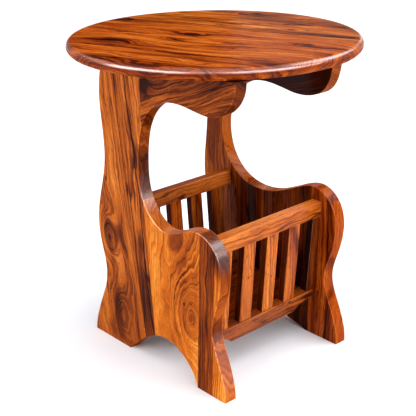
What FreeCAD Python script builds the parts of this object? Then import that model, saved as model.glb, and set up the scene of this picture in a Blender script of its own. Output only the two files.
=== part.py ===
import FreeCAD, Part
import math
import os
import Sketcher
from FreeCAD import Placement, Rotation, Vector

# Round occasional table on two C-shaped side panels with a slatted magazine rack between them.
# Frame: X runs from the left panel to the right one, -Y is the open front, +Z is up.
# The origin lies on the floor below the centre of the round top.

SIZES = (
    ("table_height", 521),
    ("top_diameter", 457),
    ("top_thick", 19),
    ("panel_thick", 23),
    ("panel_gap", 235),
    ("panel_depth", 329),
    ("panel_back", 160),
    ("panel_round", 1.8),
    ("outline_tolerance", 0.3),
    ("rack_lean", 4.6),
    ("rack_base_height", 84),
    ("front_frame_place", 104),
    ("rear_frame_place", 85),
    ("rail_depth", 20),
    ("top_rail_height", 25.5),
    ("bottom_rail_height", 27),
    ("rail_relief_length", 46),
    ("rail_round", 2),
    ("slat_width", 25),
    ("end_slat_width", 13.5),
    ("slat_thick", 14),
    ("slat_clear", 138),
    ("slat_seat", 4),
    ("slat_round", 1.5),
    ("floor_thick", 14),
    ("floor_drop", 6),
    ("floor_ease", 1.2),
    ("dowel_dia", 6),
    ("dowel_wall", 1),
    ("dowel_depth", 12),
    ("top_dowel_depth", 10),
    ("fit", 0.1),
    ("top_turn", 22),
    ("overrun", 5),
)
FRONT_SLATS = 4
REAR_SLATS = 5
TOP_BOARDS = 5
FLOOR_BOARDS = 3

# Panel outlines as shares: first of the panel depth from the back foot forward, then of the panel height.
# The two panels are cut by hand from one design, so each has its own tables.
LEFT_THROAT_SHARES = (
    (1.0640, 1.0), (1.0560, 0.9600), (1.0122, 0.9160), (0.9398, 0.8890), (0.8214, 0.8890), (0.6915, 0.8965),
    (0.5950, 0.8870), (0.4800, 0.8327), (0.4120, 0.6793), (0.4520, 0.5438), (0.5957, 0.4821),
)
LEFT_FRONT_SHARES = (
    (0.714, 0.5065), (0.8207, 0.5259), (0.9331, 0.4900), (0.9681, 0.4223), (0.9422, 0.3088),
    (0.9103, 0.2231), (0.9514, 0.1295), (0.9894, 0.0538), (1.0, 0.0),
)
LEFT_ARCH_SHARES = ((0.8055, 0.0), (0.7275, 0.0750), (0.5836, 0.1106), (0.4134, 0.0677), (0.2948, 0.0))
LEFT_BACK_SHARES = (
    (0.0, 0.0), (0.0365, 0.0896), (0.1190, 0.2390), (0.0725, 0.3984),
    (0.1480, 0.6534), (0.1290, 0.8327), (0.1790, 1.0),
)
RIGHT_THROAT_SHARES = (
    (0.9150, 1.0), (0.9070, 0.9280), (0.8600, 0.8630), (0.7503, 0.8330), (0.6300, 0.8350), (0.4800, 0.8480),
    (0.3300, 0.8270), (0.2120, 0.7700), (0.1570, 0.6700), (0.1760, 0.5760), (0.2700, 0.4960),
    (0.4250, 0.4640), (0.5500, 0.4735),
)
RIGHT_FRONT_SHARES = (
    (0.6640, 0.5030), (0.7447, 0.5260), (0.8240, 0.5360), (0.9005, 0.5150), (0.9520, 0.4700),
    (0.9660, 0.4223), (0.9350, 0.3088), (0.9040, 0.2231), (0.9490, 0.1295), (0.9910, 0.0538), (1.0, 0.0),
)
RIGHT_ARCH_SHARES = (
    (0.7750, 0.0), (0.7151, 0.0119), (0.6450, 0.0225), (0.5600, 0.0480), (0.4550, 0.0640),
    (0.3600, 0.0420), (0.2948, 0.0),
)
RIGHT_BACK_SHARES = (
    (0.0, 0.0), (0.0330, 0.0896), (0.0840, 0.2390), (0.0120, 0.4300),
    (0.0295, 0.6400), (0.0380, 0.8327), (0.0900, 1.0),
)

# Glue seams as shares of the depth at the floor and at the panel top, and the height they change at.
LEFT_SEAM_SHARES = ((0.4438, 0.2188), (0.5158, 0.3799), (0.8085, 0.8663))
RIGHT_SEAM_SHARES = ((0.2979, 0.2979), (0.5350, 0.5350), (0.8024, 0.8024))
LEFT_ARM_SEAM_SHARE = 0.4460
RIGHT_ARM_SEAM_SHARE = 0.2432
SEAM_SPLIT_SHARE = 0.6773

# Dowel places: along the panel top, and up the arm seam between its lower edge and the panel top.
LEFT_TOP_DOWEL_SHARES = (0.30, 0.58, 0.86)
RIGHT_TOP_DOWEL_SHARES = (0.16, 0.50, 0.80)
ARM_DOWEL_SHARES = (0.885, 0.955)

# Slat rows: first slat and step, as shares of the way from the middle to standing against a panel.
FRONT_ROW_SHARES = (-0.871, 0.4833)
REAR_ROW_SHARES = (-1, 0.449)

# Rising cut at the bottom rail ends: share of the rail height, and how far its curve bows.
RELIEF_SHARE = 0.5
RELIEF_BOW_SHARE = 0.12

doc = FreeCAD.newDocument("magazine_table")
sheet = doc.addObject("Spreadsheet::Sheet", "Sizes")
for row, (name, value) in enumerate(SIZES, 1):
    sheet.set("A%d" % row, name)
    sheet.set("B%d" % row, str(value))
    sheet.setAlias("B%d" % row, name)
doc.recompute()


def size(name):
    return float(sheet.get(name))


panel_height = size("table_height") - size("top_thick")
panel_inner = size("panel_gap") / 2
panel_outer = panel_inner + size("panel_thick")
dowel_hole = size("dowel_dia") / 2 + size("fit")
parts = []


def keep(obj, label):
    obj.Label = label
    parts.append(obj)
    return obj


def place_in_panel(shares):
    depth_share, height_share = shares
    return Vector(0, size("panel_back") - depth_share * size("panel_depth"), height_share * panel_height)


def curve(shares):
    """Smooth outline stretch through the places, as tangent arcs."""
    spline = Part.BSplineCurve()
    spline.interpolate([place_in_panel(s) for s in shares])
    return [arc.toShape() for arc in spline.toBiArcs(size("outline_tolerance"))]


# Side panels
def panel_blank(front_shares, arch_shares, back_shares):
    """Whole panel outline, extruded from its inner face plane x = 0 to its outer face, edges eased."""
    edges = curve(front_shares) + curve(arch_shares) + curve(back_shares)
    flats = (
        (front_shares[-1], arch_shares[0]),
        (arch_shares[-1], back_shares[0]),
        (back_shares[-1], front_shares[0]),
    )
    edges += [Part.makeLine(place_in_panel(start), place_in_panel(end)) for start, end in flats]
    wire = Part.Wire(Part.__sortEdges__(edges))
    solid = Part.Face(wire).extrude(Vector(size("panel_thick"), 0, 0))
    eased = [e for e in solid.Edges if is_outline_curve(e)]
    return solid.makeFillet(size("panel_round"), eased)


def is_outline_curve(edge):
    """True for the curved edges of both faces, not for the flats on the floor and under the top."""
    box = edge.BoundBox
    return box.XLength < size("fit") and box.ZMax > size("fit") and box.ZMin < panel_height - size("fit")


def seam_point(seam, height_share):
    low, high = seam
    return place_in_panel((low + (high - low) * height_share, height_share))


def prism(points):
    corners = []
    for p in points:
        if not corners or (p - corners[-1]).Length > size("fit"):
            corners.append(p)
    wire = Part.makePolygon(corners + corners[:1])
    slab = Part.Face(wire).extrude(Vector(size("panel_thick") + 2 * size("overrun"), 0, 0))
    slab.translate(Vector(-size("overrun"), 0, 0))
    return slab


def stave_prisms(seams, arm_share, second_reaches_top):
    """Regions of the panel that belong to each glued board, seen along X."""
    one, two, three = seams
    arm = (arm_share, arm_share)
    split = SEAM_SPLIT_SHARE
    reach = size("overrun")
    low = Vector(0, 0, -reach)
    high = Vector(0, 0, reach)
    behind = Vector(0, size("panel_depth"), 0)
    ahead = Vector(0, -size("panel_depth"), 0)
    upper = one if second_reaches_top else arm
    back = [
        seam_point(one, 0) + low, seam_point(one, split), seam_point(upper, split),
        seam_point(upper, 1) + high, seam_point(upper, 1) + high + behind, seam_point(one, 0) + low + behind,
    ]
    second = [seam_point(two, 0) + low, seam_point(two, split)]
    if second_reaches_top:
        second += [seam_point(arm, split), seam_point(arm, 1) + high, seam_point(one, 1) + high]
    second += [seam_point(one, split), seam_point(one, 0) + low]
    middle = [
        seam_point(three, 0) + low, seam_point(three, split),
        seam_point(two, split), seam_point(two, 0) + low,
    ]
    front = [
        seam_point(three, 0) + low + ahead, seam_point(three, split) + ahead,
        seam_point(three, split), seam_point(three, 0) + low,
    ]
    arm_region = [
        seam_point(arm, split) + ahead, seam_point(arm, 1) + high + ahead,
        seam_point(arm, 1) + high, seam_point(arm, split),
    ]
    return (
        ("back_stave", back), ("second_stave", second), ("middle_stave", middle),
        ("front_stave", front), ("arm", arm_region),
    )


def frame_point(frame_y, lean, along):
    """Point on a rack frame's mid line, a distance along it above the bottom rail's top."""
    angle = math.radians(lean)
    return Vector(0, frame_y - along * math.sin(angle), size("rack_base_height") + along * math.cos(angle))


def rail_dowel_points():
    """Dowel axes at the rail ends, clear of the slats let into the same rails."""
    inset = size("slat_seat") + size("dowel_wall") + size("dowel_dia") / 2
    points = []
    for frame_y, lean in frames():
        points.append(frame_point(frame_y, lean, -inset))
        points.append(frame_point(frame_y, lean, size("slat_clear") + inset))
    return points


def frames():
    return (
        (-size("front_frame_place"), size("rack_lean")),
        (size("rear_frame_place"), -size("rack_lean")),
    )


def floor_edges():
    """Front and back edge of the rack floor, clear of the leaning bottom rails."""
    half = size("rail_depth") / 2 + size("floor_ease")
    return -size("front_frame_place") + half, size("rear_frame_place") - half


def floor_middle_height():
    return size("rack_base_height") - size("floor_drop") - size("floor_thick") / 2


def floor_dowel_points():
    front, back = floor_edges()
    width = (back - front) / FLOOR_BOARDS
    return [Vector(0, front + width * (i + 0.5), floor_middle_height()) for i in range(FLOOR_BOARDS)]


def top_dowel_points(shares):
    return [place_in_panel((s, 1)) + Vector(size("panel_thick") / 2, 0, 0) for s in shares]


def arm_dowel_points(arm_share):
    return [place_in_panel((arm_share, s)) + Vector(size("panel_thick") / 2, 0, 0) for s in ARM_DOWEL_SHARES]


def bore(point, depth, direction, back_depth):
    """Dowel hole from back_depth behind the point to depth ahead of it."""
    start = point - direction * back_depth
    return Part.makeCylinder(dowel_hole, depth + back_depth, start, direction)


def panel_bores(top_shares, arm_share):
    into = Vector(1, 0, 0)
    cuts = []
    for p in rail_dowel_points() + floor_dowel_points():
        cuts.append(bore(p, size("dowel_depth"), into, size("overrun")))
    for p in top_dowel_points(top_shares):
        cuts.append(bore(p, size("dowel_depth"), Vector(0, 0, -1), size("overrun")))
    for p in arm_dowel_points(arm_share):
        cuts.append(bore(p, size("dowel_depth"), Vector(0, 1, 0), size("dowel_depth")))
    return Part.makeCompound(cuts)


def side_panel(side, outline, seams, arm_share, second_reaches_top, top_shares):
    blank = panel_blank(*outline).cut(panel_bores(top_shares, arm_share))
    mirror = side == "left"
    for name, region in stave_prisms(seams, arm_share, second_reaches_top):
        shape = blank.common(prism(region))
        if mirror:
            shape = shape.mirror(Vector(0, 0, 0), Vector(1, 0, 0))
        label = "%s_panel_%s" % (side, name)
        stave = keep(doc.addObject("Part::Feature", label), label)
        stave.Shape = shape.Solids[0] if len(shape.Solids) == 1 else shape
        stave.Placement = Placement(Vector(-panel_inner if mirror else panel_inner, 0, 0), Rotation())


left_outline = (LEFT_THROAT_SHARES + LEFT_FRONT_SHARES, LEFT_ARCH_SHARES, LEFT_BACK_SHARES)
right_outline = (RIGHT_THROAT_SHARES + RIGHT_FRONT_SHARES, RIGHT_ARCH_SHARES, RIGHT_BACK_SHARES)
side_panel("left", left_outline, LEFT_SEAM_SHARES, LEFT_ARM_SEAM_SHARE, True, LEFT_TOP_DOWEL_SHARES)
side_panel("right", right_outline, RIGHT_SEAM_SHARES, RIGHT_ARM_SEAM_SHARE, False, RIGHT_TOP_DOWEL_SHARES)


# Sketch helpers
def origin_plane(body, role):
    return [f for f in body.Origin.OriginFeatures if f.Role == role][0]


def new_sketch(body, role, name):
    sketch = body.newObject("Sketcher::SketchObject", name)
    sketch.AttachmentSupport = (origin_plane(body, role), [""])
    sketch.MapMode = "FlatFace"
    return sketch


def rectangle(sketch, left, low, width, height):
    """Rectangle whose left, low corner and sides are bound to expressions."""
    box = [Vector(0, 0, 0), Vector(1, 0, 0), Vector(1, 1, 0), Vector(0, 1, 0)]
    first = sketch.GeometryCount
    for i in range(4):
        sketch.addGeometry(Part.LineSegment(box[i], box[(i + 1) % 4]))
    for i in range(4):
        sketch.addConstraint(Sketcher.Constraint("Coincident", first + i, 2, first + (i + 1) % 4, 1))
    sketch.addConstraint(Sketcher.Constraint("Horizontal", first))
    sketch.addConstraint(Sketcher.Constraint("Vertical", first + 1))
    sketch.addConstraint(Sketcher.Constraint("Horizontal", first + 2))
    sketch.addConstraint(Sketcher.Constraint("Vertical", first + 3))
    bind(sketch, Sketcher.Constraint("DistanceX", first, 1, first, 2, 1), width)
    bind(sketch, Sketcher.Constraint("DistanceY", first + 1, 1, first + 1, 2, 1), height)
    bind(sketch, Sketcher.Constraint("DistanceX", -1, 1, first, 1, 0), left)
    bind(sketch, Sketcher.Constraint("DistanceY", -1, 1, first, 1, 0), low)


def bind(sketch, constraint, expression):
    index = sketch.addConstraint(constraint)
    sketch.setExpression("Constraints[%d]" % index, expression)


def circle(sketch, across, up):
    first = sketch.GeometryCount
    sketch.addGeometry(Part.Circle(Vector(0, 0, 0), Vector(0, 0, 1), dowel_hole))
    bind(sketch, Sketcher.Constraint("Radius", first, dowel_hole), "Sizes.dowel_dia / 2 + Sizes.fit")
    bind(sketch, Sketcher.Constraint("DistanceX", -1, 1, first, 3, 0), across)
    bind(sketch, Sketcher.Constraint("DistanceY", -1, 1, first, 3, 0), up)


def pad(body, sketch, length, midplane=False):
    feature = body.newObject("PartDesign::Pad", "Pad")
    feature.Profile = sketch
    feature.setExpression("Length", length)
    feature.Midplane = midplane
    body.Tip = feature
    return feature


def pocket(body, sketch, depth, reverse=False):
    feature = body.newObject("PartDesign::Pocket", "Pocket")
    feature.Profile = sketch
    feature.setExpression("Length", depth)
    feature.Reversed = reverse
    body.Tip = feature
    return feature


def ease_long_edges(body, radius, axis):
    """Round the straight edges that run the whole length of a piece."""
    doc.recompute()
    base = body.Tip
    box = base.Shape.BoundBox
    reach = (box.XLength, box.YLength, box.ZLength)[axis] / 2
    names = []
    for i, edge in enumerate(base.Shape.Edges, 1):
        span = edge.BoundBox
        lengths = [span.XLength, span.YLength, span.ZLength]
        if lengths.pop(axis) > reach and max(lengths) < size("fit"):
            names.append("Edge%d" % i)
    feature = body.newObject("PartDesign::Fillet", "Fillet")
    feature.Base = (base, names)
    feature.setExpression("Radius", radius)
    body.Tip = feature


# Rack rails
SLAT_REACH = "(Sizes.panel_gap / 2 - Sizes.slat_width / 2 - Sizes.fit)"


def slat_rows():
    """For each rack frame: first slat share, step share, full slats, and whether a narrow one ends it."""
    return (FRONT_ROW_SHARES + (FRONT_SLATS, True), REAR_ROW_SHARES + (REAR_SLATS, False))


def mortise_sketch(body, left, width):
    sketch = new_sketch(body, "XY_Plane", "Mortise")
    rectangle(sketch, left, "-Sizes.slat_thick / 2 - Sizes.fit", width + " + 2 * Sizes.fit",
              "Sizes.slat_thick + 2 * Sizes.fit")
    return sketch


def rail(label, height, is_top, frame_y, lean, slat_row):
    """Rail with a row of slat mortises and a dowel hole in each end; z = 0 is the face the slats enter."""
    first, step, slats, has_end_slat = slat_row
    body = keep(doc.addObject("PartDesign::Body", label), label)
    outline = new_sketch(body, "XZ_Plane", "Outline")
    half_gap = "Sizes.panel_gap / 2"
    low = "0" if is_top else "-" + height
    rectangle(outline, "-" + half_gap, low, "Sizes.panel_gap", height)
    pad(body, outline, "Sizes.rail_depth", True)
    ease_long_edges(body, "Sizes.rail_round", 0)
    if not is_top:
        relieve_ends(body)
    left = "%s * %s - Sizes.slat_width / 2 - Sizes.fit" % (first, SLAT_REACH)
    mortise = mortise_sketch(body, left, "Sizes.slat_width")
    cut = pocket(body, mortise, "Sizes.slat_seat", is_top)
    row = body.newObject("PartDesign::LinearPattern", "MortiseRow")
    row.Originals = [cut]
    row.Direction = (mortise, ["H_Axis"])
    row.setExpression("Length", "%s * %s * %d" % (step, SLAT_REACH, slats - 1))
    row.Occurrences = slats
    body.Tip = row
    if has_end_slat:
        end_left = "Sizes.panel_gap / 2 - Sizes.end_slat_width - 2 * Sizes.fit"
        end_mortise = mortise_sketch(body, end_left, "Sizes.end_slat_width")
        pocket(body, end_mortise, "Sizes.slat_seat", is_top)
    holes = new_sketch(body, "YZ_Plane", "EndHole")
    holes.setExpression("AttachmentOffset.Base.z", half_gap)
    inset = "(Sizes.slat_seat + Sizes.dowel_wall + Sizes.dowel_dia / 2)"
    circle(holes, "0", inset if is_top else "-" + inset)
    hole = pocket(body, holes, "Sizes.dowel_depth")
    both = body.newObject("PartDesign::Mirrored", "OtherEnd")
    both.Originals = [hole]
    both.MirrorPlane = (origin_plane(body, "YZ_Plane"), [""])
    body.Tip = both
    along = size("slat_clear") if is_top else 0
    body.Placement = Placement(frame_point(frame_y, lean, along), Rotation(Vector(1, 0, 0), lean))


def relieve_ends(body):
    """Cut the lower corners of the bottom rail away in a rising curve towards each panel."""
    sketch = new_sketch(body, "XZ_Plane", "Relief")
    end = panel_inner
    run = size("rail_relief_length")
    low = -size("bottom_rail_height")
    rise = low + size("bottom_rail_height") * RELIEF_SHARE
    start = Vector(end - run, low, 0)
    top = Vector(end, rise, 0)
    sketch.addGeometry(Part.LineSegment(start, Vector(end, low, 0)))
    sketch.addGeometry(Part.LineSegment(Vector(end, low, 0), top))
    middle = (start + top) * 0.5 + Vector(-(top.y - start.y), run, 0) * RELIEF_BOW_SHARE
    sketch.addGeometry(Part.Arc(top, middle, start))
    feature = body.newObject("PartDesign::Pocket", "Pocket")
    feature.Profile = sketch
    feature.Type = "ThroughAll"
    feature.Midplane = True
    body.Tip = feature
    both = body.newObject("PartDesign::Mirrored", "OtherRelief")
    both.Originals = [feature]
    both.MirrorPlane = (origin_plane(body, "YZ_Plane"), [""])
    body.Tip = both


for frame_name, (frame_y, lean), slat_row in zip(("front", "rear"), frames(), slat_rows()):
    rail(frame_name + "_bottom_rail", "Sizes.bottom_rail_height", False, frame_y, lean, slat_row)
    rail(frame_name + "_top_rail", "Sizes.top_rail_height", True, frame_y, lean, slat_row)


# Rack slats
def slat(label, width, frame_y, lean, across):
    body = keep(doc.addObject("PartDesign::Body", label), label)
    section = new_sketch(body, "XY_Plane", "Section")
    rectangle(section, "-%s / 2" % width, "-Sizes.slat_thick / 2", width, "Sizes.slat_thick")
    pad(body, section, "Sizes.slat_clear + 2 * (Sizes.slat_seat - Sizes.fit)")
    ease_long_edges(body, "Sizes.slat_round", 2)
    start = frame_point(frame_y, lean, size("fit") - size("slat_seat"))
    body.Placement = Placement(start + Vector(across, 0, 0), Rotation(Vector(1, 0, 0), lean))


slat_reach = panel_inner - size("slat_width") / 2 - size("fit")
for frame_name, (frame_y, lean), slat_row in zip(("front", "rear"), frames(), slat_rows()):
    first, step, slats, has_end_slat = slat_row
    for i in range(slats):
        across = (first + i * step) * slat_reach
        slat("%s_slat_%d" % (frame_name, i + 1), "Sizes.slat_width", frame_y, lean, across)
    if has_end_slat:
        across = panel_inner - size("fit") - size("end_slat_width") / 2
        slat("%s_slat_%d" % (frame_name, slats + 1), "Sizes.end_slat_width", frame_y, lean, across)


# Rack floor
def floor_board(label, point):
    body = keep(doc.addObject("PartDesign::Body", label), label)
    section = new_sketch(body, "YZ_Plane", "Section")
    span = "(Sizes.front_frame_place + Sizes.rear_frame_place - Sizes.rail_depth - 2 * Sizes.floor_ease)"
    board = "%s / %d" % (span, FLOOR_BOARDS)
    rectangle(section, "-%s / 2" % board, "-Sizes.floor_thick / 2", board, "Sizes.floor_thick")
    pad(body, section, "Sizes.panel_gap", True)
    hole_sketch = new_sketch(body, "YZ_Plane", "EndHole")
    hole_sketch.setExpression("AttachmentOffset.Base.z", "Sizes.panel_gap / 2")
    circle(hole_sketch, "0", "0")
    hole = pocket(body, hole_sketch, "Sizes.dowel_depth")
    both = body.newObject("PartDesign::Mirrored", "OtherEnd")
    both.Originals = [hole]
    both.MirrorPlane = (origin_plane(body, "YZ_Plane"), [""])
    body.Tip = both
    body.Placement = Placement(point, Rotation())


for i, point in enumerate(floor_dowel_points(), 1):
    floor_board("rack_floor_board_%d" % i, point)


# Round top
def top_disc():
    """Whole top with a half-round rim and blind dowel holes underneath; z = 0 is the underside."""
    body = doc.addObject("PartDesign::Body", "top_disc")
    section = new_sketch(body, "XZ_Plane", "Section")
    thick = size("top_thick")
    inner = size("top_diameter") / 2 - thick / 2
    section.addGeometry(Part.LineSegment(Vector(0, 0, 0), Vector(inner, 0, 0)))
    rim = Vector(inner + thick / 2, thick / 2, 0)
    section.addGeometry(Part.Arc(Vector(inner, 0, 0), rim, Vector(inner, thick, 0)))
    section.addGeometry(Part.LineSegment(Vector(inner, thick, 0), Vector(0, thick, 0)))
    section.addGeometry(Part.LineSegment(Vector(0, thick, 0), Vector(0, 0, 0)))
    for a, b, c, d in ((0, 2, 1, 1), (1, 2, 2, 1), (2, 2, 3, 1), (3, 2, 0, 1)):
        section.addConstraint(Sketcher.Constraint("Coincident", a, b, c, d))
    section.addConstraint(Sketcher.Constraint("Coincident", 0, 1, -1, 1))
    section.addConstraint(Sketcher.Constraint("Horizontal", 0))
    section.addConstraint(Sketcher.Constraint("Horizontal", 2))
    section.addConstraint(Sketcher.Constraint("Vertical", 3))
    flat = "Sizes.top_diameter / 2 - Sizes.top_thick / 2"
    bind(section, Sketcher.Constraint("DistanceX", 0, 1, 0, 2, inner), flat)
    bind(section, Sketcher.Constraint("DistanceY", 3, 2, 3, 1, thick), "Sizes.top_thick")
    section.addConstraint(Sketcher.Constraint("Vertical", 0, 2, 1, 3))
    section.addConstraint(Sketcher.Constraint("Vertical", 1, 3, 2, 1))
    turned = body.newObject("PartDesign::Revolution", "Revolution")
    turned.Profile = section
    turned.ReferenceAxis = (section, ["V_Axis"])
    body.Tip = turned
    holes = new_sketch(body, "XY_Plane", "DowelHoles")
    for sign, shares in ((-1, LEFT_TOP_DOWEL_SHARES), (1, RIGHT_TOP_DOWEL_SHARES)):
        for share in shares:
            circle(holes, "%d * (Sizes.panel_gap + Sizes.panel_thick) / 2" % sign,
                   "Sizes.panel_back - %s * Sizes.panel_depth" % share)
    pocket(body, holes, "Sizes.top_dowel_depth", True)
    body.Placement = Placement(Vector(0, 0, panel_height), Rotation())
    return body


disc = top_disc()
board_width = "Sizes.top_diameter / %d" % TOP_BOARDS
for i in range(TOP_BOARDS):
    label = "top_board_%d" % (i + 1)
    slab = doc.addObject("Part::Box", label + "_slab")
    slab.setExpression("Length", board_width)
    slab.setExpression("Width", "Sizes.top_diameter")
    slab.setExpression("Height", "Sizes.top_thick")
    turn = Rotation(Vector(0, 0, 1), size("top_turn"))
    corner = Vector((i / TOP_BOARDS - 0.5) * size("top_diameter"), -size("top_diameter") / 2, 0)
    slab.Placement = Placement(turn.multVec(corner) + Vector(0, 0, panel_height), turn)
    board = keep(doc.addObject("Part::Common", label), label)
    board.Base = disc
    board.Tool = slab


# Dowels
def dowel(name, start, direction, length):
    pin = doc.addObject("Part::Cylinder", name)
    pin.setExpression("Radius", "Sizes.dowel_dia / 2")
    pin.setExpression("Height", length)
    pin.Placement = Placement(start, Rotation(Vector(0, 0, 1), direction))
    return pin


def dowel_group(label, pins):
    group = keep(doc.addObject("Part::Compound", label), label)
    group.Links = pins


def side_pins(label, points):
    """Dowels along X from both panels into the ends of the pieces between them."""
    pins = []
    length = "2 * (Sizes.dowel_depth - Sizes.fit)"
    for p in points:
        for sign in (-1, 1):
            start = p + Vector(sign * (panel_inner - size("dowel_depth") + size("fit")), 0, 0)
            pins.append(dowel("%s_pin" % label, start, Vector(sign, 0, 0), length))
    dowel_group(label, pins)


side_pins("rail_dowels", rail_dowel_points())
side_pins("floor_dowels", floor_dowel_points())

panels = (
    (-1, LEFT_TOP_DOWEL_SHARES, LEFT_ARM_SEAM_SHARE),
    (1, RIGHT_TOP_DOWEL_SHARES, RIGHT_ARM_SEAM_SHARE),
)
top_pins = []
arm_pins = []
for sign, top_shares, arm_share in panels:
    for p in top_dowel_points(top_shares):
        start = Vector(sign * (panel_inner + p.x), p.y, p.z - size("dowel_depth") + size("fit"))
        length = "Sizes.dowel_depth + Sizes.top_dowel_depth - 2 * Sizes.fit"
        top_pins.append(dowel("top_pin", start, Vector(0, 0, 1), length))
    for p in arm_dowel_points(arm_share):
        start = Vector(sign * (panel_inner + p.x), p.y - size("dowel_depth") + size("fit"), p.z)
        arm_pins.append(dowel("arm_pin", start, Vector(0, 1, 0), "2 * (Sizes.dowel_depth - Sizes.fit)"))
dowel_group("top_dowels", top_pins)
dowel_group("arm_dowels", arm_pins)

doc.recompute()
for obj in doc.Objects:
    if "Invalid" in obj.State or "Error" in obj.State:
        raise RuntimeError("%s did not build: %s" % (obj.Label, obj.State))
os.makedirs("parts", exist_ok=True)
for obj in parts:
    shape = obj.Shape
    if shape.isNull() or not shape.isValid() or shape.Volume <= 0:
        raise RuntimeError("%s has no valid solid" % obj.Label)
    shape.exportStep("parts/%s.step" % obj.Label)
    print("%-26s solids %2d volume %10.1f" % (obj.Label, len(shape.Solids), shape.Volume))
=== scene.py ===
import bpy
import math
from mathutils import Matrix, Vector


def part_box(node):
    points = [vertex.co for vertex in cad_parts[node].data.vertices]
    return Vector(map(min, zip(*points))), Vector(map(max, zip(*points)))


# Dressing for a round occasional table on two C-shaped panels with a slatted magazine rack.
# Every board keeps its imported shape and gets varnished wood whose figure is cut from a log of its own.
# Sizes of wood and the camera's place are millimetres in the part's frame, and MM turns them to metres.
# The paper floor and the lights are in metres.

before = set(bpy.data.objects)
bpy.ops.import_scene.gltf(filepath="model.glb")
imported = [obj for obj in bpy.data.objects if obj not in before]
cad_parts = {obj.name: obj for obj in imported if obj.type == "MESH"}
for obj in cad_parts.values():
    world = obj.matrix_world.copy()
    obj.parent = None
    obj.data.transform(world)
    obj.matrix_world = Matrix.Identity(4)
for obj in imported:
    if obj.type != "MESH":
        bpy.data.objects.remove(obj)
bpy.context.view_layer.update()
MM = 0.001


def linear(hex_colour):
    """Linear RGBA from an sRGB hex colour."""
    channels = [int(hex_colour[i:i + 2], 16) / 255 for i in (1, 3, 5)]
    return [c / 12.92 if c <= 0.04045 else ((c + 0.055) / 1.055) ** 2.4 for c in channels] + [1.0]


def add(tree, kind, settings=None, values=None, links=None):
    """Add one node with its settings, socket values and links. A linked node stands for its first output."""
    made = tree.nodes.new(kind)
    for name, value in (settings or {}).items():
        setattr(made, name, value)
    for socket, value in (values or {}).items():
        made.inputs[socket].default_value = value
    for socket, source in (links or {}).items():
        tree.links.new(getattr(source, "outputs", [source])[0], made.inputs[socket])
    return made


# Sheesham, an Indian rosewood: orange-brown with deep red-brown bands, near-black ink lines and eye-shaped
# figure round knots. Planed, stained and varnished, so the eye gets clear grain under a soft sheen, which is
# strongest on the top's rim and on the edges that look up.
WOOD_SPECULAR = 0.0
WOOD_ROUGHNESS_SPAN = (0.38, 0.55)
BUMP_DEPTH = 0.2
VARNISH_IOR = 1.5
# The top's rim carries the thickest build of varnish, which mirrors more than one thin coat does.
RIM_IOR = 1.55
GLOSS_ROUGHNESS = 0.12
RIM_ROUGHNESS = 0.22
SATIN_ROUGHNESS = 0.3
# Weight of the varnish on faces, and on slopes that look up.
FACE_VARNISH = 0.1
TOP_FACE_VARNISH = 0.035
RACK_FACE_VARNISH = 0.35
REAR_SLAT_VARNISH = 0.05
PANEL_EDGE_VARNISH = 1.0
RAIL_TOP_VARNISH = 0.28
RIM_VARNISH = 0.95

# Layers of noise: width across the grain, length along it, detail, and the layer's shift of the board's seed.
# Real growth rings are 2 to 4 mm wide and pores about 0.2 mm; both are drawn wider to show at this
# picture size.
SWAY = (55, 190, 2, 0)
RIPPLE = (13, 42, 2, 5)
CLOUD = (48, 190, 2, 37)
FIGURE = (12, 420, 3, 0)
GROWTH = (2.9, 130, 2, 11)
INK = (19, 260, 1, 23)
PORES = (1.2, 13, 1, 0)
LAYER_ROUGHNESS = 0.6
# Noise and tones swing about this middle. With the push gain, the noise pushes the grain by up to twice its
# depth each way.
MIDDLE = 0.5
PUSH_GAIN = 4
RIPPLE_DEPTH = 2.2
RING_WIDTH, RING_VARIES_OVER, RING_DETAIL = 4.6, 150, 1
# How many rings the figure moves a ring by, and how far the strength's noise steps from one ring to the next.
RING_WANDER = 2.4
RING_STEP = 0.63

# How strongly each layer moves the tone along the ramp from dark to light.
CLOUD_SHARE = 0.42
GROWTH_SHARE = 0.45
RING_SHARE = 0.15
RING_MEAN = 0.25
INK_SHARE = 0.15
PORE_SHARE = 0.45
# Edges are end grain, which drinks stain; the rounded corners between are painted lighter, a painted
# highlight.
EDGE_SHADE = 0.05
CORNER_HIGHLIGHT_SHARE = 0.06
EDGE_CONTRAST = 0.55
KNOT_CORE_POWER = 2.5
TONE_STOP_SHARES = (0.16, 0.36, 0.52, 0.70)

# Where fades start and end: in the noise, in the width of one ring, in how squarely a surface faces as the
# show face does, and in how far it looks up.
INK_CORE, INK_CLEAR = 0.004, 0.03
CLOUD_NO_INK, CLOUD_FULL_INK = 0.56, 0.4
LATE_WOOD_START, LATE_WOOD_END = 0.42, 0.96
RING_FAINT, RING_STRONG = 0.36, 0.64
PORE_START, PORE_FULL = 0.56, 0.68
GROWTH_LOW, GROWTH_HIGH = 0.3, 0.7
INNER_START, INNER_FULL = 0.3, 0.8
EDGE_FULL, EDGE_END = 0.05, 0.3
CORNER_FACING = 0.5
CORNER_START, CORNER_FULL = 0.05, 0.3
DULL_FACING, CLEAR_FACING = 0.1, 0.9
UPRIGHT, SLOPED = 0, 0.35
STILL_SLOPED, LEVEL = 0.75, 0.97

GOLD_TONES = ("#3A1002", "#8E3C0A", "#CC6A18", "#E69238")
BROWN_TONES = ("#2C0C03", "#74300B", "#B55A18", "#D58438")
UMBER_TONES = ("#1A0501", "#4C1804", "#843A0C", "#B06020")
RED_TONES = ("#200601", "#5E1D04", "#A0440E", "#C66A20")


def log_axes(along, normal):
    """Turn of a board's log: its Z runs with the grain and its Y out of the board's show face."""
    z = Vector(along).normalized()
    y = (Vector(normal) - z * z.dot(Vector(normal))).normalized()
    x = y.cross(z)
    return Matrix((x, y, z)).transposed()


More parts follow.
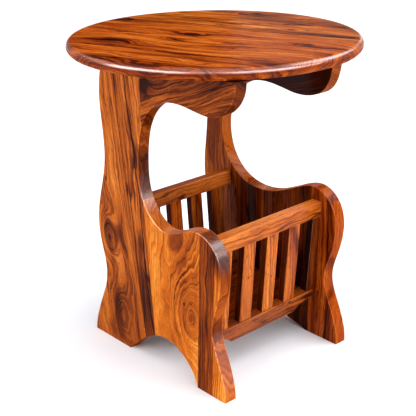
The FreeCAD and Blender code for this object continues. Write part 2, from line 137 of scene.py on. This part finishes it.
def wandering_grain(tree, log, drift, seed):
    """Places in the log, pushed by a slow sway and a small ripple, both long with the grain."""
    grain = log
    for (width, run, detail, shift), depth in ((SWAY, drift), (RIPPLE, RIPPLE_DEPTH)):
        start = seed + shift
        vector = add(tree, "ShaderNodeVectorMath", {"operation": "MULTIPLY_ADD"},
                     {1: (1 / width, 1 / width, 1 / run), 2: (start, -start, start)}, {0: log})
        noise = add(tree, "ShaderNodeTexNoise", values={"Scale": 1, "Detail": detail},
                    links={"Vector": vector})
        push = PUSH_GAIN * depth
        pushed = add(tree, "ShaderNodeVectorMath", {"operation": "MULTIPLY_ADD"},
                     {1: (push, push, 0), 2: (-MIDDLE * push, -MIDDLE * push, 0)},
                     {0: noise.outputs["Color"]})
        grain = add(tree, "ShaderNodeVectorMath", {"operation": "ADD"}, links={0: grain, 1: pushed})
    return grain


def knotted_rings(tree, grain, pith, knots, axes, origin):
    """Distance from the log's heart, round which the growth rings lie, swelled at each knot; and the knots'
    shades."""
    from_heart = add(tree, "ShaderNodeVectorMath", {"operation": "MULTIPLY_ADD"},
                     {1: (1, 1, 0), 2: (-pith[0], pith[1], 0)}, {0: grain})
    ring = add(tree, "ShaderNodeVectorMath", {"operation": "LENGTH"}, links={0: from_heart}).outputs["Value"]
    shades = []
    for spot, across, down, swell, heart in knots:
        local = axes.transposed() @ (Vector(spot) - origin)
        off = add(tree, "ShaderNodeVectorMath", {"operation": "MULTIPLY_ADD"},
                  {1: (1 / across, 0, 1 / down), 2: (-local.x / across, 0, -local.z / down)}, {0: grain})
        square = add(tree, "ShaderNodeVectorMath", {"operation": "DOT_PRODUCT"}, links={0: off, 1: off})
        bell = add(tree, "ShaderNodeMath", {"operation": "POWER"}, {0: math.exp(-1)},
                   {1: square.outputs["Value"]})
        ring = add(tree, "ShaderNodeMath", {"operation": "MULTIPLY_ADD"}, {1: swell}, {0: bell, 2: ring})
        core = add(tree, "ShaderNodeMath", {"operation": "POWER"}, {1: KNOT_CORE_POWER}, {0: bell})
        shades.append(add(tree, "ShaderNodeMath", {"operation": "MULTIPLY"}, {1: heart}, {0: core}))
    return ring, shades


def streak_shades(tree, across_grain, streaks):
    """Dark stripes that run with the grain."""
    shades = []
    for across, half, soft, depth in streaks:
        side = add(tree, "ShaderNodeMath", {"operation": "SUBTRACT"}, {1: across}, {0: across_grain})
        side = add(tree, "ShaderNodeMath", {"operation": "ABSOLUTE"}, links={0: side})
        shades.append(add(tree, "ShaderNodeMapRange", {"interpolation_type": "SMOOTHSTEP"},
                          {1: half, 2: half + soft, 3: depth, 4: 0}, {0: side}))
    return shades


def drawn_out_layers(tree, grain, ringed, seed):
    """Broad clouds of colour, then figure, fine growth lines and ink; the last three follow the rings."""
    layers = []
    sources = ((grain, CLOUD), (ringed, FIGURE), (ringed, GROWTH), (ringed, INK))
    for source, (width, run, detail, shift) in sources:
        start = seed + shift
        vector = add(tree, "ShaderNodeVectorMath", {"operation": "MULTIPLY_ADD"},
                     {1: (1 / width, 0, 1 / run), 2: (start, start, start)}, {0: source})
        layers.append(add(tree, "ShaderNodeTexNoise",
                          values={"Scale": 1, "Detail": detail, "Roughness": LAYER_ROUGHNESS},
                          links={"Vector": vector}))
    return layers


def ink_shade(tree, ink, cloud):
    """Thin dark lines where the ink noise crosses its middle, in the darker clouds only."""
    line = add(tree, "ShaderNodeMath", {"operation": "SUBTRACT"}, {1: MIDDLE}, {0: ink})
    line = add(tree, "ShaderNodeMath", {"operation": "ABSOLUTE"}, links={0: line})
    line = add(tree, "ShaderNodeMapRange", {"interpolation_type": "SMOOTHSTEP"},
               {1: INK_CORE, 2: INK_CLEAR, 3: INK_SHARE, 4: 0}, {0: line})
    inked = add(tree, "ShaderNodeMapRange", {"interpolation_type": "SMOOTHSTEP"},
                {1: CLOUD_NO_INK, 2: CLOUD_FULL_INK}, {0: cloud})
    return add(tree, "ShaderNodeMath", {"operation": "MULTIPLY"}, links={0: line, 1: inked})


def late_wood_shade(tree, ring, figure, along_grain, seed):
    """Each ring darkens slowly to its late wood and ends sharply; some rings are stronger than others."""
    phase = add(tree, "ShaderNodeMath", {"operation": "DIVIDE"}, {1: RING_WIDTH}, {0: ring})
    phase = add(tree, "ShaderNodeMath", {"operation": "MULTIPLY_ADD"}, {1: RING_WANDER},
                {0: figure, 2: phase})
    late = add(tree, "ShaderNodeMath", {"operation": "FRACT"}, links={0: phase})
    late = add(tree, "ShaderNodeMapRange", {"interpolation_type": "SMOOTHSTEP"},
               {1: LATE_WOOD_START, 2: LATE_WOOD_END}, {0: late})
    count = add(tree, "ShaderNodeMath", {"operation": "FLOOR"}, links={0: phase})
    year = add(tree, "ShaderNodeCombineXYZ", links={0: count, 2: along_grain})
    year = add(tree, "ShaderNodeVectorMath", {"operation": "MULTIPLY_ADD"},
               {1: (RING_STEP, 0, 1 / RING_VARIES_OVER), 2: (seed, seed, seed)}, {0: year})
    strong = add(tree, "ShaderNodeTexNoise", values={"Scale": 1, "Detail": RING_DETAIL},
                 links={"Vector": year})
    strong = add(tree, "ShaderNodeMapRange", values={1: RING_FAINT, 2: RING_STRONG, 3: 0, 4: RING_SHARE},
                 links={0: strong})
    return add(tree, "ShaderNodeMath", {"operation": "MULTIPLY"}, links={0: late, 1: strong})


def facing_shades(tree, outward, show_normal, painted_inner_shade, edge_stain_and_painted_light, corner_highlight):
    """How squarely the surface faces as the show face does: 1 on faces, 0 on edges, between on round corners.
    With it, the painted shade of the inner face, the edges' darker tone (end grain's stain; painted shade or
    sheen on some boards) and the painted highlight on the round corners."""
    facing = add(tree, "ShaderNodeVectorMath", {"operation": "DOT_PRODUCT"}, {1: show_normal}, {0: outward})
    facing = facing.outputs["Value"]
    shades = []
    # Painted shade: faces turned as the show face is are darkened in the colour.
    if painted_inner_shade:
        shades.append(add(tree, "ShaderNodeMapRange",
                          values={1: INNER_START, 2: INNER_FULL, 3: 0, 4: painted_inner_shade}, links={0: facing}))
    facing = add(tree, "ShaderNodeMath", {"operation": "ABSOLUTE"}, links={0: facing})
    # Edge tone: end grain's stain; on the slats a deep painted shade, on the front top rail a lighter painted
    # sheen.
    shades.append(add(tree, "ShaderNodeMapRange", values={1: EDGE_FULL, 2: EDGE_END, 3: edge_stain_and_painted_light, 4: 0},
                      links={0: facing}))
    # Painted highlight: the rounded corners are lightened in the colour.
    corner = add(tree, "ShaderNodeMath", {"operation": "PINGPONG"}, {1: CORNER_FACING}, {0: facing})
    shades.append(add(tree, "ShaderNodeMapRange", {"interpolation_type": "SMOOTHSTEP"},
                      {1: CORNER_START, 2: CORNER_FULL, 3: 0, 4: -corner_highlight}, {0: corner}))
    return facing, shades


def stained_tone(tree, cloud, figure, growth, shades, facing, tones, figure_share, contrast, lift):
    """Colour from the layers and shades, painted shade and painted highlight among them.
    End grain on the edges shows less figure than the faces do.
    """
    even = MIDDLE * (1 - figure_share - GROWTH_SHARE - CLOUD_SHARE) + RING_MEAN * RING_SHARE
    tone = add(tree, "ShaderNodeMath", {"operation": "MULTIPLY_ADD"}, {1: figure_share, 2: even}, {0: figure})
    tone = add(tree, "ShaderNodeMath", {"operation": "MULTIPLY_ADD"}, {1: GROWTH_SHARE}, {0: growth, 2: tone})
    tone = add(tree, "ShaderNodeMath", {"operation": "MULTIPLY_ADD"}, {1: CLOUD_SHARE}, {0: cloud, 2: tone})
    for shade in shades:
        tone = add(tree, "ShaderNodeMath", {"operation": "SUBTRACT"}, links={0: tone, 1: shade})
    tone = add(tree, "ShaderNodeMath", {"operation": "SUBTRACT"}, {1: MIDDLE}, {0: tone})
    depth = add(tree, "ShaderNodeMapRange",
                values={1: DULL_FACING, 2: CLEAR_FACING, 3: EDGE_CONTRAST * contrast, 4: contrast},
                links={0: facing})
    tone = add(tree, "ShaderNodeMath", {"operation": "MULTIPLY_ADD"}, {2: MIDDLE + lift}, {0: tone, 1: depth})
    ramp = add(tree, "ShaderNodeValToRGB", links={"Fac": tone})
    stops = ramp.color_ramp.elements
    while len(stops) < len(tones):
        stops.new(1)
    for stop, share, tint in zip(stops, TONE_STOP_SHARES, tones):
        stop.position = share
        stop.color = linear(tint)
    return ramp


def open_pores(tree, grain, seed):
    """Short dark pores along the grain."""
    width, run, detail, shift = PORES
    start = seed + shift
    vector = add(tree, "ShaderNodeVectorMath", {"operation": "MULTIPLY_ADD"},
                 {1: (1 / width, 1 / width, 1 / run), 2: (start, start, start)}, {0: grain})
    pore = add(tree, "ShaderNodeTexNoise", values={"Scale": 1, "Detail": detail}, links={"Vector": vector})
    return add(tree, "ShaderNodeMapRange", {"interpolation_type": "SMOOTHSTEP"},
               {1: PORE_START, 2: PORE_FULL, 3: 0, 4: PORE_SHARE}, {0: pore})


def settled_varnish(tree, outward, face_varnish, slope_varnish, flat_varnish):
    """Varnish runs off upright faces and settles on the slopes that look up, where the sheen lies."""
    upward = add(tree, "ShaderNodeSeparateXYZ", links={0: outward}).outputs["Z"]
    varnish = add(tree, "ShaderNodeMapRange",
                  values={1: UPRIGHT, 2: SLOPED, 3: face_varnish, 4: slope_varnish}, links={0: upward})
    if flat_varnish:
        flat = add(tree, "ShaderNodeMapRange",
                   values={1: STILL_SLOPED, 2: LEVEL, 3: slope_varnish, 4: flat_varnish}, links={0: upward})
        varnish = add(tree, "ShaderNodeMath", {"operation": "MINIMUM"}, links={0: varnish, 1: flat})
    return varnish


def varnished_sheesham(name, centre, along, normal, pith, tones, seed, figure_share=0.4, drift=6,
                       contrast=1.2, lift=0, streaks=(), knots=(), edge_stain_and_painted_light=EDGE_SHADE, corner_highlight=CORNER_HIGHLIGHT_SHARE,
                       painted_inner_shade=0, face_varnish=FACE_VARNISH, slope_varnish=None, flat_varnish=None,
                       coat_ior=VARNISH_IOR, coat_roughness=GLOSS_ROUGHNESS):
    """Wood of one board. pith is the log's heart as (across, behind) from the board's centre; each streak is
    (across, half width, soft edge, depth) and each knot (place, across, along, swell, shade of its heart)."""
    material = bpy.data.materials.new(name)
    material.use_nodes = True
    tree = material.node_tree
    tree.nodes.clear()
    axes = log_axes(along, normal)
    origin = Vector(centre)
    place = add(tree, "ShaderNodeTexCoord").outputs["Object"]
    log = add(tree, "ShaderNodeMapping", {"vector_type": "TEXTURE"},
              {"Location": origin * MM, "Rotation": axes.to_euler(), "Scale": (MM, MM, MM)},
              {"Vector": place})
    grain = wandering_grain(tree, log, drift, seed)
    parts = add(tree, "ShaderNodeSeparateXYZ", links={0: grain})
    across_grain, along_grain = parts.outputs["X"], parts.outputs["Z"]

    ring, shades = knotted_rings(tree, grain, pith, knots, axes, origin)
    shades += streak_shades(tree, across_grain, streaks)
    ringed = add(tree, "ShaderNodeCombineXYZ", links={0: ring, 2: along_grain})
    cloud, figure, growth, ink = drawn_out_layers(tree, grain, ringed, seed)
    shades.append(ink_shade(tree, ink, cloud))
    shades.append(late_wood_shade(tree, ring, figure, along_grain, seed))
    outward = add(tree, "ShaderNodeNewGeometry").outputs["Normal"]
    facing, surface_shades = facing_shades(tree, outward, axes.col[1], painted_inner_shade, edge_stain_and_painted_light, corner_highlight)
    shades += surface_shades

    stain = stained_tone(tree, cloud, figure, growth, shades, facing, tones, figure_share, contrast, lift)
    pore = open_pores(tree, grain, seed)
    colour = add(tree, "ShaderNodeMix", {"data_type": "RGBA"}, {7: linear(tones[0])}, {0: pore, 6: stain})
    height = add(tree, "ShaderNodeMath", {"operation": "SUBTRACT"}, links={0: growth, 1: pore})
    bump = add(tree, "ShaderNodeBump", values={"Strength": BUMP_DEPTH, "Distance": MM},
               links={"Height": height})
    smooth, dull = WOOD_ROUGHNESS_SPAN
    rough = add(tree, "ShaderNodeMapRange", values={1: GROWTH_LOW, 2: GROWTH_HIGH, 3: smooth, 4: dull},
                links={0: growth})
    shader = add(tree, "ShaderNodeBsdfPrincipled",
                 values={"IOR": VARNISH_IOR, "Specular IOR Level": WOOD_SPECULAR, "Coat Weight": face_varnish,
                         "Coat IOR": coat_ior, "Coat Roughness": coat_roughness},
                 links={"Base Color": colour.outputs[2], "Roughness": rough, "Normal": bump})
    if slope_varnish:
        varnish = settled_varnish(tree, outward, face_varnish, slope_varnish, flat_varnish)
        tree.links.new(varnish.outputs[0], shader.inputs["Coat Weight"])
    add(tree, "ShaderNodeOutputMaterial", links={"Surface": shader})
    return material


def middle(node):
    """Centre of a packed board's box."""
    low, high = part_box(node)
    return (low + high) / 2 / MM


def dress(node, normal, **look):
    """Give a packed board its own wood."""
    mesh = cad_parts[node].data
    mesh.materials.clear()
    mesh.materials.append(varnished_sheesham("sheesham_" + node, middle(node), normal=normal, **look))


OUT = (-1, 0, 0)
UP = (0, 0, 1)
FRONT = (0, -1, 0)
ACROSS = (1, 0, 0)

# Near panel: brown back, a dark red-brown strip, bright orange middle with the big knot, dark-edged front
# with a dark shoulder. A knot with no swell is a cloud of shade.
NEAR_FACE = -140
SATIN = {"slope_varnish": PANEL_EDGE_VARNISH, "coat_roughness": SATIN_ROUGHNESS}
LEFT_PANEL = {
    "back_stave": dict(
        along=(0, 0.147, 1), pith=(48, 50), tones=BROWN_TONES, seed=1, contrast=1.05, lift=-0.03,
        streaks=((30, 3, 6, 0.06),),
        knots=(((NEAR_FACE, 112, 189), 19, 34, 34, 0.18),
               ((NEAR_FACE, 86, 54), 22, 48, 30, 0.1),
               ((NEAR_FACE, 96, 76), 34, 80, 0, 0.13)),
        **SATIN),
    "second_stave": dict(
        along=(0, 0.12, 1), pith=(-90, 30), tones=BROWN_TONES, seed=6.3, figure_share=0.5, drift=4,
        lift=-0.03, edge_stain_and_painted_light=0.2,
        streaks=((-16, 0.8, 2, 0.2), (15, 1.5, 4, 0.1)),
        knots=(((NEAR_FACE, 32, 352), 10, 34, 12, 0.24),
               ((NEAR_FACE, 40, 408), 9, 40, 8, 0.22),
               ((NEAR_FACE, 24, 205), 9, 30, 0, 0.2),
               ((NEAR_FACE, 18, 110), 60, 160, 0, 0.24)),
        **SATIN),
    "middle_stave": dict(
        along=(0, -0.03, 1), pith=(-10, 60), tones=GOLD_TONES, seed=5.5, figure_share=0.3, drift=3,
        # Its edges are painted a little lighter than the other staves', a painted sheen on the C edge.
        lift=-0.01, edge_stain_and_painted_light=0.02,
        knots=(((NEAR_FACE, -90, 114), 28, 46, 30, 0.1),
               ((NEAR_FACE, -88, 130), 50, 110, 26, 0),
               ((NEAR_FACE, -25, 270), 24, 66, 10, 0),
               ((NEAR_FACE, -79, 135), 2, 3, 3, 0.5),
               ((NEAR_FACE, -95, 141), 1.6, 2.4, 3, 0.5)),
        **SATIN),
    "front_stave": dict(
        along=(0, -0.04, 1), pith=(90, 40), tones=GOLD_TONES, seed=12.1, drift=3,
        edge_stain_and_painted_light=0.2,
        streaks=((13, 12, 5, 0.2), (-4, 1, 2, 0.2)),
        knots=(((NEAR_FACE, -156, 236), 22, 44, 0, 0.3),),
        **SATIN),
    "arm": dict(
        along=(0, -1, 0.45), pith=(130, 60), tones=BROWN_TONES, seed=40, figure_share=0.6, lift=-0.16,
        edge_stain_and_painted_light=0.1,
        knots=(((NEAR_FACE, 6, 466), 14, 20, 16, 0.3),)),
}

# Far panel: its inner face, which shows, is painted darker than its outside, painted shade for the shadow
# inside the rack. The arm, under the top, is painted darker still by its lowered tone.
RIGHT_PANEL = {
    "back_stave": dict(
        along=UP, pith=(100, 50), tones=BROWN_TONES, seed=15.8, lift=-0.02, contrast=0.9, painted_inner_shade=0.1),
    "second_stave": dict(
        along=UP, pith=(-90, 40), tones=BROWN_TONES, seed=19.5, lift=-0.06, contrast=0.9, painted_inner_shade=0.27),
    "middle_stave": dict(
        along=UP, pith=(80, 60), tones=BROWN_TONES, seed=23.2, lift=-0.02, contrast=0.9, painted_inner_shade=0.31),
    "front_stave": dict(
        along=UP, pith=(-80, 50), tones=RED_TONES, seed=26.9, lift=0.07, contrast=1.2, painted_inner_shade=0.1,
        edge_stain_and_painted_light=0.13,
        streaks=((-5, 1.5, 4, 0.14), (22, 2, 5, 0.1))),
    "arm": dict(
        along=(0, -1, 0.3), pith=(130, 60), tones=BROWN_TONES, seed=41, figure_share=0.6, lift=-0.1,
        painted_inner_shade=0.3),
}
for panel, boards in (("left_panel_", LEFT_PANEL), ("right_panel_", RIGHT_PANEL)):
    for board, look in boards.items():
        dress(panel + board, OUT, **look)

# Round top: five boards turned a little from the panels, dark red-brown streaks on orange.
TOP_TURN = math.radians(22)
TOP_ALONG = (-math.sin(TOP_TURN), math.cos(TOP_TURN), 0)
TOP_FACE = 521
TOP_SEED, TOP_SEED_STEP = 50, 2.3
TOP_BOARDS = (
    dict(pith=(80, 50), tones=RED_TONES, lift=-0.05,
         knots=(((-89, -197, TOP_FACE), 12, 40, 10, 0.12),
                ((-208, -77, TOP_FACE), 14, 34, 12, 0.14))),
    dict(pith=(-75, 60), tones=RED_TONES, lift=-0.03,
         knots=(((-135, 77, TOP_FACE), 14, 44, 14, 0.14),
                ((-45, -46, TOP_FACE), 16, 60, -16, -0.06))),
    dict(pith=(85, 45), tones=RED_TONES, lift=-0.03,
         knots=(((-24, 30, TOP_FACE), 16, 46, 18, 0.2),
                ((60, -150, TOP_FACE), 18, 60, -14, 0))),
    dict(pith=(-80, 55), tones=BROWN_TONES, lift=-0.11,
         knots=(((115, -146, TOP_FACE), 16, 30, 16, 0.16),
                ((150, -41, TOP_FACE), 14, 40, 14, 0.18),
                ((93, 60, TOP_FACE), 24, 80, 0, -0.12))),
    dict(pith=(70, 60), tones=BROWN_TONES, lift=-0.1,
         knots=(((170, 60, TOP_FACE), 16, 50, 14, 0.1),)),
)
TOP_FINISH = dict(along=TOP_ALONG, figure_share=0.5, drift=11, contrast=1.4, corner_highlight=0, edge_stain_and_painted_light=0.08,
                  slope_varnish=RIM_VARNISH, flat_varnish=TOP_FACE_VARNISH, coat_ior=RIM_IOR,
                  coat_roughness=RIM_ROUGHNESS)
for count, look in enumerate(TOP_BOARDS):
    dress("top_board_%d" % (count + 1), UP, seed=TOP_SEED + TOP_SEED_STEP * count, **look, **TOP_FINISH)

# Rack: light rails and slats in front, browner ones behind. The rear slats, the rear bottom rail, the end
# slat by the far panel and the floor boards take dark tones as painted shade inside the rack. The front
# rail's top is painted lighter than its face, a painted sheen.
RAIL_SEED = 70
RAILS = {
    "front_top_rail": dict(tones=GOLD_TONES, lift=-0.06, edge_stain_and_painted_light=-0.14),
    "front_bottom_rail": dict(tones=BROWN_TONES, lift=-0.12, knots=(((59, -113, 77), 2.2, 3, 4, 0.5),)),
    "rear_top_rail": dict(tones=BROWN_TONES, lift=-0.05),
    "rear_bottom_rail": dict(tones=UMBER_TONES),
}
RAIL_FINISH = dict(along=ACROSS, pith=(60, 60), drift=4, contrast=1.15, face_varnish=RACK_FACE_VARNISH,
                   slope_varnish=RAIL_TOP_VARNISH, coat_roughness=SATIN_ROUGHNESS)
for count, (node, look) in enumerate(RAILS.items()):
    dress(node, FRONT, seed=RAIL_SEED + count, **look, **RAIL_FINISH)

SLAT_SEED, SLAT_SEED_STEP = 80, 1.9
SLAT_PITH_ACROSS, SLAT_PITH_STEP, SLAT_PITH_BEHIND = 60, 9, 50
SLATS = {
    "front": (
        dict(tones=GOLD_TONES, lift=-0.06),
        dict(tones=GOLD_TONES, lift=-0.06, knots=(((-40, -118, 160), 1.8, 2.4, 3, 0.5),)),
        dict(tones=GOLD_TONES, lift=-0.06, knots=(((12, -118, 145), 1.8, 2.4, 3, 0.5),
                                                  ((3, -118, 130), 1.4, 2, 2, 0.4))),
        dict(tones=RED_TONES, lift=0.03),
        # The end slat by the far panel is painted darkest: painted shade in that corner.
        dict(tones=UMBER_TONES, lift=-0.1)),
    "rear": (
        dict(tones=BROWN_TONES),
        dict(tones=UMBER_TONES, lift=-0.04),
        dict(tones=RED_TONES),
        dict(tones=UMBER_TONES),
        dict(tones=UMBER_TONES)),
}
SLAT_FACE_VARNISH = {"front": RACK_FACE_VARNISH, "rear": REAR_SLAT_VARNISH}
# The slats' sides are painted near black: painted shade between the slats.
SLAT_FINISH = dict(along=UP, figure_share=0.3, drift=3, contrast=1.05, edge_stain_and_painted_light=0.42,
                   coat_roughness=SATIN_ROUGHNESS)
for side, row in SLATS.items():
    for count, look in enumerate(row):
        dress("%s_slat_%d" % (side, count + 1), FRONT, seed=SLAT_SEED + SLAT_SEED_STEP * count,
              pith=(SLAT_PITH_ACROSS + SLAT_PITH_STEP * count, SLAT_PITH_BEHIND),
              face_varnish=SLAT_FACE_VARNISH[side], **look, **SLAT_FINISH)

# The floor boards inside the rack take dark tones: painted shade.
FLOOR_BOARDS = 3
FLOOR_BOARD_SEED = 95
for count in range(FLOOR_BOARDS):
    dress("rack_floor_board_%d" % (count + 1), UP, along=ACROSS, pith=(60, 40), tones=UMBER_TONES,
          seed=FLOOR_BOARD_SEED + count, drift=5, contrast=0.7, lift=-0.06)
DOWEL_SEED = 99
for node in ("rail_dowels", "floor_dowels", "top_dowels", "arm_dowels"):
    dress(node, UP, along=ACROSS, pith=(0, 4), tones=GOLD_TONES, seed=DOWEL_SEED, drift=1)

# Floor: a flat sheet of matte white paper.
PAPER_COLOUR = "#F6F9FF"
PAPER_ROUGHNESS = 0.9
PAPER_REACH = 9.0
corners = [(x * PAPER_REACH, y * PAPER_REACH, 0) for x, y in ((-1, -1), (1, -1), (1, 1), (-1, 1))]
floor_mesh = bpy.data.meshes.new("paper_floor")
floor_mesh.from_pydata(corners, [], [(0, 1, 2, 3)])
floor = bpy.data.objects.new("paper_floor", floor_mesh)
bpy.context.scene.collection.objects.link(floor)
paper = bpy.data.materials.new("matte_white_paper")
paper.use_nodes = True
paper_shader = paper.node_tree.nodes["Principled BSDF"]
paper_shader.inputs["Base Color"].default_value = linear(PAPER_COLOUR)
paper_shader.inputs["Roughness"].default_value = PAPER_ROUGHNESS
floor_mesh.materials.append(paper)

# Soft studio light. A dim white room and one very broad light overhead light the floor evenly. Two strips
# and a box at the sides model the wood. The gloss boxes only show in the varnish, and draw the bright line
# along the top's rim and the sheen on edges and top. Two small lamps whiten the floor beside and behind the
# table.
ROOM_COLOUR = "#FFFFFF"
ROOM_STRENGTH = 0.3
ROOM_SEEN_STRENGTH = 1
BROAD_LIGHT_STRENGTH = 1.9
BROAD_LIGHT_SPREAD = math.radians(70)
BROAD_LIGHT_FROM = (-0.1, -0.45, 1.4)
RACK_AIM = (0, 0, 0.4)
TOP_AIM = (0, 0, 0.5)
# Each softbox: place, aim, watts, width, height and whether it shows in the varnish only.
SOFTBOXES = {
    "left_strip": ((-3.69, 0.72, 1.87), RACK_AIM, 77, 4.5, 0.7, False),
    "right_strip": ((1.1, -3.6, 1.87), RACK_AIM, 95, 3.5, 0.8, False),
    "side_box": ((2.65, -0.96, 3.24), RACK_AIM, 60, 2, 2, False),
    "left_gloss": ((-3.6, 0.4, 1.9), TOP_AIM, 560, 4.5, 2.4, True),
    "right_gloss": ((-0.25, -3.62, 1.9), TOP_AIM, 340, 3.6, 2.4, True),
    "front_gloss": ((-2.2, -2.8, 2.4), TOP_AIM, 60, 3, 1.2, True),
    "side_gloss": ((2.9, -1.05, 3.0), RACK_AIM, 160, 4, 2.5, True),
    "far_gloss": ((3.35, 2.18, 1.5), TOP_AIM, 32, 1.8, 1.6, True),
    "floor_fill": ((-0.75, 1.1, 1.1), (-0.75, 1.1, 0), 4, 0.9, 0.9, False),
    "backdrop_light": ((3.1, 2.35, 1.6), (5, 4.6, 0), 40, 1.6, 1.4, False),
}

world = bpy.data.worlds.new("white_room")
bpy.context.scene.world = world
world.use_nodes = True
world.node_tree.nodes.clear()
seen = add(world.node_tree, "ShaderNodeLightPath").outputs["Is Camera Ray"]
strength = add(world.node_tree, "ShaderNodeMapRange", values={3: ROOM_STRENGTH, 4: ROOM_SEEN_STRENGTH},
               links={0: seen})
room = add(world.node_tree, "ShaderNodeBackground", values={"Color": linear(ROOM_COLOUR)},
           links={"Strength": strength})
add(world.node_tree, "ShaderNodeOutputWorld", links={"Surface": room})


def lamp(name, kind, place, aim, strength, gloss_only=False, **settings):
    """Hang a lamp at a place, turned to its aim and out of the camera's sight."""
    light = bpy.data.lights.new(name, kind)
    light.energy = strength
    for setting, value in settings.items():
        setattr(light, setting, value)
    obj = bpy.data.objects.new(name, light)
    obj.location = place
    obj.rotation_euler = (Vector(aim) - Vector(place)).to_track_quat("-Z", "Y").to_euler()
    obj.visible_camera = False
    obj.visible_diffuse = not gloss_only
    bpy.context.scene.collection.objects.link(obj)


lamp("broad_light", "SUN", BROAD_LIGHT_FROM, (0, 0, 0), BROAD_LIGHT_STRENGTH, angle=BROAD_LIGHT_SPREAD)
for name, (place, aim, watts, width, height, gloss_only) in SOFTBOXES.items():
    lamp(name, "AREA", place, aim, watts, gloss_only, shape="RECTANGLE", size=width, size_y=height)

# Camera: the photograph's place and lens, worked out from the top's ellipse, the feet and the rails.
CAMERA_PLACE = (-972.8, -1050.2, 802.8)
CAMERA_YAW = math.radians(42.298)
CAMERA_PITCH = math.radians(20.339)
CAMERA_ROLL = math.radians(-0.647)
FOCAL_PIXELS = 932.9
PICTURE_WIDTH = 416
CENTRE_ROW = 185.7
SENSOR_WIDTH = 36

ahead = Vector((math.sin(CAMERA_YAW) * math.cos(CAMERA_PITCH), math.cos(CAMERA_YAW) * math.cos(CAMERA_PITCH),
                -math.sin(CAMERA_PITCH)))
level = Vector((math.cos(CAMERA_YAW), -math.sin(CAMERA_YAW), 0))
upright = level.cross(ahead)
right = math.cos(CAMERA_ROLL) * level + math.sin(CAMERA_ROLL) * upright
up = math.cos(CAMERA_ROLL) * upright - math.sin(CAMERA_ROLL) * level
lens = bpy.data.cameras.new("photo_camera")
lens.sensor_width = SENSOR_WIDTH
lens.lens = FOCAL_PIXELS * SENSOR_WIDTH / PICTURE_WIDTH
lens.shift_y = (CENTRE_ROW - PICTURE_WIDTH / 2) / PICTURE_WIDTH
camera = bpy.data.objects.new("photo_camera", lens)
camera_turn = Matrix((right, up, -ahead)).transposed().to_4x4()
camera.matrix_world = Matrix.Translation(Vector(CAMERA_PLACE) * MM) @ camera_turn
bpy.context.scene.collection.objects.link(camera)
bpy.context.scene.camera = camera
bpy.context.scene.view_settings.view_transform = "Standard"
